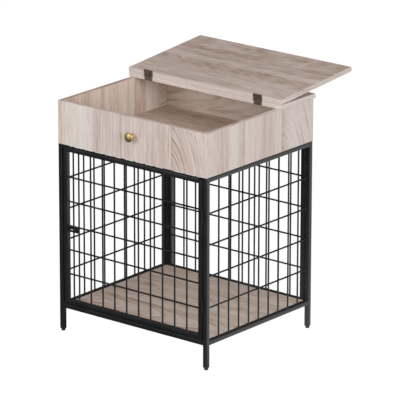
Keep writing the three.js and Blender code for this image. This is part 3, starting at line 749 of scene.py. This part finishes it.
moulded_polyethylene, tree, shader = new_material("moulded_polyethylene")
place = add(tree, "TexCoord").outputs["Object"]
height = add(tree, "SeparateXYZ", sockets={0: place}).outputs["Z"]
grit = add(tree, "TexNoise", sockets={"Vector": place, "Scale": 1 / foot_grain, "Detail": 2.0})
scuff = add(tree, "MapRange", sockets={
    "Value": height, "From Min": scuff_height, "From Max": 0.0, "To Max": scuff_force,
})
scuffed = add(tree, "Math", "MULTIPLY_ADD", {0: scuff, 1: grit, 2: foot_tone})
foot_colour = ramp(
    add(tree, "ValToRGB", sockets={0: scuffed}), [(0.0, foot_black), (1.0, foot_scuffed)]
)
foot_relief = add(tree, "Bump", sockets={
    "Height": grit, "Strength": 0.3, "Distance": foot_relief_height,
})
fill(tree, shader, {
    "Base Color": foot_colour, "Normal": foot_relief, "Roughness": 0.55, "IOR": 1.51,
})
print("Feet are scuffed up to", round(scuff_height / mm), "mm")

# %% [markdown]
# ## Finishing the steel, brass and plastic
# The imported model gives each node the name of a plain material. Every node that isn't a board
# takes the finish that stands for that name, so no piece has to be listed by hand.

# %% Finish the other nodes
finishes = {
    "black_steel": black_coat,
    "bronze_steel": antique_bronze,
    "zinc_steel": bright_zinc,
    "brass": turned_brass,
    "black_plastic": moulded_polyethylene,
}
for name, node in nodes.items():
    if name not in board_prints:
        slot_name = node.data.materials[0].name.split(".")[0]
        node.data.materials[0] = finishes[slot_name]
print(len(nodes) - len(board_prints), "metal and plastic nodes finished")

# %% [markdown]
# ## Round what is round
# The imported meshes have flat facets. A geometry nodes modifier joins their corners again and shades
# them smooth wherever two facets meet at a small angle, so barrels and bolt heads look round. Where
# they meet at a larger angle the edge stays, and the finishes above round it in the light alone,
# with a bevel node, so that it catches a line of light as a real edge does. The meshes themselves
# stay as they were packed.

# %% Smoothing
smooth_below = math.radians(32)
join_within = 0.01 * mm

smooth_group = bpy.data.node_groups.new("smooth_round_faces", "GeometryNodeTree")
smooth_group.interface.new_socket("Geometry", in_out="INPUT", socket_type="NodeSocketGeometry")
smooth_group.interface.new_socket("Geometry", in_out="OUTPUT", socket_type="NodeSocketGeometry")
new_node = smooth_group.nodes.new
group_in = new_node("NodeGroupInput")
group_out = new_node("NodeGroupOutput")
drop_normals = new_node("GeometryNodeRemoveAttribute")
drop_normals.inputs["Name"].default_value = "custom_normal"
weld = new_node("GeometryNodeMergeByDistance")
weld.inputs["Distance"].default_value = join_within
smooth_faces = new_node("GeometryNodeSetShadeSmooth")
edge_angle = new_node("GeometryNodeInputMeshEdgeAngle")
is_sharp = new_node("FunctionNodeCompare")
is_sharp.operation = "GREATER_THAN"
is_sharp.inputs[1].default_value = smooth_below
sharp_edges = new_node("GeometryNodeSetShadeSmooth")
sharp_edges.domain = "EDGE"
sharp_edges.inputs["Shade Smooth"].default_value = False
for source, target in (
    (group_in.outputs[0], drop_normals.inputs[0]),
    (drop_normals.outputs[0], weld.inputs[0]),
    (weld.outputs[0], smooth_faces.inputs[0]),
    (smooth_faces.outputs[0], sharp_edges.inputs[0]),
    (edge_angle.outputs["Unsigned Angle"], is_sharp.inputs[0]),
    (is_sharp.outputs[0], sharp_edges.inputs["Selection"]),
    (sharp_edges.outputs[0], group_out.inputs[0]),
):
    smooth_group.links.new(source, target)

for node in nodes.values():
    smoothing = node.modifiers.new("smooth_round_faces", "NODES")
    smoothing.node_group = smooth_group
print("Facets under", round(math.degrees(smooth_below)), "degrees are smoothed")

# %% [markdown]
# ## Pieces in mesh code
# A piece made here is a list of corners and faces. Round things are rings of corners, each joined
# to the next, so one function makes wires, weld nuggets, beads and the knob from a line of centres
# with a radius at each.

# %% Mesh helpers
crease_above = math.radians(50)


def turned(centres, radii, axis, sides):
    """Rings of corners round a straight axis, joined in turn and closed at both ends."""
    axis = Vector(axis).normalized()
    aside = axis.orthogonal().normalized()
    across = axis.cross(aside)
    corners, faces = [], []
    for centre, radius in zip(centres, radii):
        for k in range(sides):
            angle = 2 * math.pi * k / sides
            spoke = aside * math.cos(angle) + across * math.sin(angle)
            corners.append(Vector(centre) + spoke * radius)
    for ring in range(len(centres) - 1):
        for k in range(sides):
            a, b = ring * sides + k, ring * sides + (k + 1) % sides
            faces.append((a, b, b + sides, a + sides))
    faces.append(tuple(reversed(range(sides))))
    faces.append(tuple(range(len(corners) - sides, len(corners))))
    return corners, faces


def joined(parts):
    """Several meshes as one list of corners and one of faces."""
    corners, faces = [], []
    for part_corners, part_faces in parts:
        start = len(corners)
        corners.extend(part_corners)
        faces.extend(tuple(start + k for k in face) for face in part_faces)
    return corners, faces


def piece(name, mesh_data, material, body):
    """A new object that rides on a body and takes the finish it is given."""
    corners, faces = mesh_data
    mesh = bpy.data.meshes.new(name)
    mesh.from_pydata(corners, [], faces)
    mesh.shade_smooth()
    mesh.set_sharp_from_angle(angle=crease_above)
    mesh.materials.append(material)
    made = bpy.data.objects.new(name, mesh)
    bpy.context.collection.objects.link(made)
    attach(made, body)
    return made


rod_corners, rod_faces = turned([(0, 0, 0), (0, 0, 1)], [1, 1], (0, 0, 1), sides=8)
print("A rod with eight sides has", len(rod_corners), "corners and", len(rod_faces), "faces")

# %% [markdown]
# ## The wire grilles
# Each grille is drawn wire, cut to length, laid crosswise and welded by pressing every crossing
# between two electrodes: the wires sink into each other and a little metal is squeezed out into
# the corners. The ends are welded to the tubes, which leaves a small collar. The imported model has
# the wires with eight sides, so round ones with their welds stand for them here, on the same
# centre lines. Curves with a round bevel would make the wires too, but not their collars.

# %% Wire and weld sizes
wire_radius = 2.6 * mm
coat_build = 0.1 * mm  # what the powder adds to the bare wire's radius
coated_radius = wire_radius + coat_build
wire_sides = 16
packed_wire_sides = 8
wire_flat = wire_radius * math.cos(math.pi / packed_wire_sides)
seat_gap = 0.3 * mm
collar_radius = 3.5 * mm
collar_length = 1.6 * mm
# Pairs of a share of the collar's length, from the tube, and the radius there.
collar_profile = [
    (0, collar_radius), (0.3, 0.94 * collar_radius), (0.7, 1.05 * coated_radius),
    (1, coated_radius),
]
nugget_radius = 3.3 * mm
nugget_half_height = 2.0 * mm
nugget_rings = 5
nugget_sides = 10
print("Wire is", round(2 * coated_radius / mm, 1), "mm thick with its coat")


# %% Wires and their welds
def wire(start, end):
    """A straight wire between two tubes, with a weld collar at each end."""
    axis = (end - start).normalized()
    start, end = start - axis * seat_gap, end + axis * seat_gap
    near = [(start + axis * collar_length * t, r) for t, r in collar_profile]
    far = [(end - axis * collar_length * t, r) for t, r in reversed(collar_profile)]
    centres, radii = zip(*near, *far)
    return turned(centres, radii, axis, wire_sides)


def weld_nugget(centre, inward):
    """The flattened drop of metal between two crossing wires."""
    steps = [math.pi * (k / (nugget_rings + 1) - 0.5) for k in range(1, nugget_rings + 1)]
    centres = [centre + inward * nugget_half_height * math.sin(a) for a in steps]
    radii = [nugget_radius * math.cos(a) for a in steps]
    return turned(centres, radii, inward, nugget_sides)


def row(low, high, pitch):
    """Places of a centred row of wires between two tubes."""
    clear = high - low + 2 * seat_gap
    count = max(2, round(clear / pitch) - 1)
    return [(low + high) / 2 + (k - (count - 1) / 2) * pitch for k in range(count)]


# %% [markdown]
# ### Four grilles
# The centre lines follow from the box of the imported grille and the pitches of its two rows. The
# uprights lie outside and the cross wires inside, each half a packed wire in from its side of the
# box.

# %% Grilles
side_upright_pitch = 49.2 * mm
front_upright_pitch = 48.2 * mm
level_pitch = 100.5 * mm
door_level_pitch = 79.1 * mm


def grille(node, body, inward, upright_pitch, cross_pitch):
    """Round wires with welds, in place of a node's eight-sided ones."""
    low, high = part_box(node)
    inward = Vector(inward)
    depth = 0 if inward.x else 1
    side = 1 - depth
    sign = inward[depth]
    outside, inside = (low, high) if sign > 0 else (high, low)
    outer = outside[depth] + sign * wire_flat
    inner = inside[depth] - sign * wire_flat

    def at(across, deep, up):
        point = Vector((0, 0, up))
        point[side], point[depth] = across, deep
        return point

    uprights = row(low[side], high[side], upright_pitch)
    levels = row(low.z, high.z, cross_pitch)
    parts = [wire(at(u, outer, low.z), at(u, outer, high.z)) for u in uprights]
    parts += [wire(at(low[side], inner, z), at(high[side], inner, z)) for z in levels]
    middle = (outer + inner) / 2
    parts += [weld_nugget(at(u, middle, z), inward) for u in uprights for z in levels]
    made = piece(node + "_wires", joined(parts), wire_coat, body)
    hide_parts(node)
    print(made.name, "has", len(uprights), "uprights and", len(levels), "cross wires")


grille("grille_left", "table", (1, 0, 0), side_upright_pitch, level_pitch)
grille("grille_right", "table", (-1, 0, 0), side_upright_pitch, level_pitch)
grille("grille_back", "table", (0, -1, 0), front_upright_pitch, level_pitch)
grille("door_grille", "door", (0, 1, 0), front_upright_pitch, door_level_pitch)

# %% [markdown]
# ## The knob
# A mushroom knob, turned from a brass bar: a small base disc, a waisted neck and a wide head with
# a domed face. A curve through a few radii, spun round the axis, is how a lathe makes it too. A
# screw modifier could spin it, but the ring helper is there already.

# %% Turned knob
knob_low, knob_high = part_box("knob")
knob_centre = Vector(((knob_low.x + knob_high.x) / 2, knob_high.y, (knob_low.z + knob_high.z) / 2))
knob_reach = knob_high.y - knob_low.y
knob_radius = (knob_high.x - knob_low.x) / 2
knob_sides = 64
steps_per_point = 3
towards_front = Vector((0, -1, 0))
# Pairs of a distance from the panel and the radius there, in mm.
knob_profile = [
    (0.0, 6.3), (0.3, 7.0), (1.3, 7.0), (1.8, 6.5), (2.6, 5.6), (4.2, 5.0), (8.0, 4.5),
    (11.0, 4.6), (13.4, 5.4), (14.6, 7.4), (15.3, 10.2), (16.2, 13.2), (17.3, 14.9), (18.6, 15.48),
    (19.4, 15.35), (20.6, 14.5), (21.9, 12.6), (23.1, 9.8), (24.1, 6.6), (24.8, 3.2), (25.0, 0.6),
]


def smooth_profile(points, steps):
    """More points on a smooth line through the given ones (a Catmull-Rom spline)."""
    padded = [points[0], *points, points[-1]]
    fine = []
    for k in range(1, len(padded) - 2):
        p0, p1, p2, p3 = (Vector(p) for p in padded[k - 1:k + 3])
        for s in range(steps):
            t = s / steps
            fine.append(0.5 * (
                2 * p1 + (p2 - p0) * t + (2 * p0 - 5 * p1 + 4 * p2 - p3) * t ** 2
                + (3 * p1 - p0 - 3 * p2 + p3) * t ** 3
            ))
    return fine + [Vector(points[-1])]


profile = smooth_profile(knob_profile, steps_per_point)
knob_parts = turned(
    [knob_centre + towards_front * min(p.x * mm, knob_reach) for p in profile],
    [min(p.y * mm, knob_radius) for p in profile],
    towards_front,
    knob_sides,
)
knob = piece("turned_knob", knob_parts, turned_brass, "table")
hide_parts("knob")
print("Knob stands", round(knob_reach / mm, 1), "mm out from the panel")

# %% [markdown]
# ## Weld beads
# Every rail is welded to its leg or stile. Where the faces are flush the weld is ground off before
# coating, and in the corners above and below the rail a small rippled bead stays, left by the
# welder's moving torch. Each bead is a short round line whose thickness rises and falls, half sunk
# in the corner. A bump in the finish wouldn't do, because the bead fills the corner's outline.

# %% Beads in the corners of the tube joints
bead_radius = 1.5 * mm
bead_inset = 2.0 * mm
bead_sides = 8
ripple_pitch = 1.3 * mm
ripple_depth = 0.12
steps_per_ripple = 4
fewest_steps = 12
taper_rate = 4.0
tip_share = 0.004


def bead(start, end):
    """A rippled weld bead between two points, rounded off at its ends."""
    length = (end - start).length
    count = max(fewest_steps, round(length / (ripple_pitch / steps_per_ripple)))
    centres, radii = [], []
    for k in range(count + 1):
        t = k / count
        ripple = 1 - ripple_depth + ripple_depth * math.cos(2 * math.pi * t * length / ripple_pitch)
        from_tip = min(max(t, tip_share), 1 - tip_share)
        taper = min(1.0, taper_rate * math.sin(math.pi * from_tip))
        centres.append(start.lerp(end, t))
        radii.append(bead_radius * ripple * taper)
    return turned(centres, radii, end - start, bead_sides)


def rail_beads(node, run):
    """Beads above and below both ends of a rail that runs along an axis."""
    low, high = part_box(node)
    side = 1 - run
    made = []
    for end in (low[run] - seat_gap, high[run] + seat_gap):
        for z in (low.z, high.z):
            points = []
            for across in (low[side] + bead_inset, high[side] - bead_inset):
                point = Vector((0, 0, z))
                point[run], point[side] = end, across
                points.append(point)
            made.append(bead(*points))
    return made


table_beads = []
for name in ("front_rail", "back_rail_lower", "back_rail_upper"):
    table_beads += rail_beads(name, 0)
for level in ("lower", "upper"):
    for side in ("left", "right"):
        table_beads += rail_beads(f"side_rail_{level}_{side}", 1)
door_beads = rail_beads("door_rail_lower", 0) + rail_beads("door_rail_upper", 0)
piece("frame_weld_beads", joined(table_beads), black_coat, "table")
piece("door_weld_beads", joined(door_beads), black_coat, "door")
print(len(table_beads) + len(door_beads), "weld beads")

# %% [markdown]
# ## Hinge screws
# Each leaf of the lid's hinges is held by two screws with a cross recess. Their raised heads stand
# half a millimetre out of the leaf, and the two leaves of a closed hinge lie two millimetres
# apart, so the heads clear each other. A ring of corners is bridged to a cross-shaped one, whose
# floor lies deeper: cutting the cross out with a boolean would leave a less even mesh.

# %% Screw heads
screw_radius = 2.6 * mm
screw_sides = 24
screw_proud = 0.55 * mm
screw_sunk = 0.1 * mm
# Pairs of a share of the radius and a depth below the top of the head, from the rim inwards.
head_rings = [(1.0, screw_proud + screw_sunk), (0.97, 0.30 * mm), (0.88, 0.10 * mm), (0.70, 0.0)]
recess_arm = 1.5 * mm
recess_half_width = 0.38 * mm
recess_rim_depth = 0.02 * mm
recess_depth = 0.5 * mm
recess_narrowing = 0.8


def screw_head(centre, outward, turn):
    """A raised head with a cross recess, its top at centre and facing outward."""
    shape = bmesh.new()
    basis = outward.to_track_quat("Z", "Y").to_matrix() @ Matrix.Rotation(turn, 3, "Z")

    def ring(points, depth):
        verts = [shape.verts.new(centre + basis @ Vector((x, y, -depth))) for x, y in points]
        edges = [shape.edges.new((verts[k - 1], verts[k])) for k in range(len(verts))]
        return verts, edges

    def circle(radius):
        angles = [2 * math.pi * (k + 0.5) / screw_sides for k in range(screw_sides)]
        return [(radius * math.cos(a), radius * math.sin(a)) for a in angles]

    arm, half = recess_arm, recess_half_width
    cross = [
        (arm, -half), (arm, half), (half, half), (half, arm), (-half, arm), (-half, half),
        (-arm, half), (-arm, -half), (-half, -half), (-half, -arm), (half, -arm), (half, -half),
    ]
    recess_floor = [(x * recess_narrowing, y * recess_narrowing) for x, y in cross]
    rings = [ring(circle(screw_radius * share), depth) for share, depth in head_rings]
    rings += [ring(cross, recess_rim_depth), ring(recess_floor, recess_depth)]
    for (_, outer), (_, inner) in zip(rings, rings[1:]):
        bmesh.ops.bridge_loops(shape, edges=outer + inner)
    shape.faces.new(rings[-1][0])
    shape.faces.new(list(reversed(rings[0][0])))
    bmesh.ops.recalc_face_normals(shape, faces=shape.faces)
    shape.verts.index_update()
    corners = [v.co.copy() for v in shape.verts]
    faces = [tuple(v.index for v in f.verts) for f in shape.faces]
    shape.free()
    return corners, faces


print("A screw's head is", round(2 * screw_radius / mm, 1), "mm across")

# %% [markdown]
# ### Eight screws in four leaves
# The rear leaves sit on the rear board's front edge, just below the pivot. The lid's leaves sit on
# the lid's own edge, which lies above the pivot while the lid is open, so all eight screws face
# the front. The lid's are placed as if it lay level, and then swung by its tilt. Each is turned by
# an angle of its own, as a screwdriver leaves it.

# %% Hinge screws
leaf_face_behind_pivot = 1.0 * mm
lid_tilt = math.radians(5)
rear_screw_aside, rear_screw_drop = 9.5 * mm, 9.2 * mm
lid_screw_aside, lid_screw_rise = 11 * mm, 11.5 * mm
rear_turns = (0.4, 1.3)
lid_turns = (1.1, 0.4)

lid_joint = next(joint for joint in frame["joints"] if joint["name"] == "lid_hinge")
pivot = Vector(lid_joint["pos_m"])
swing = Matrix.Rotation(-lid_tilt, 3, "X")
screw_top = leaf_face_behind_pivot - screw_proud
lid_screws, rear_screws = [], []
for side in ("left", "right"):
    low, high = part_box(f"rear_hinge_leaf_{side}")
    hinge = Vector(((low.x + high.x) / 2, pivot.y, pivot.z))
    for sign, rear_turn, lid_turn in zip((-1, 1), rear_turns, lid_turns):
        rear_spot = hinge + Vector((sign * rear_screw_aside, screw_top, -rear_screw_drop))
        rear_screws.append(screw_head(rear_spot, towards_front, rear_turn))
        lid_spot = hinge + swing @ Vector((sign * lid_screw_aside, screw_top, lid_screw_rise))
        lid_screws.append(screw_head(lid_spot, swing @ towards_front, lid_turn))
piece("lid_hinge_screws", joined(lid_screws), antique_bronze, "lid")
piece("rear_hinge_screws", joined(rear_screws), antique_bronze, "table")
print(len(lid_screws) + len(rear_screws), "hinge screws")
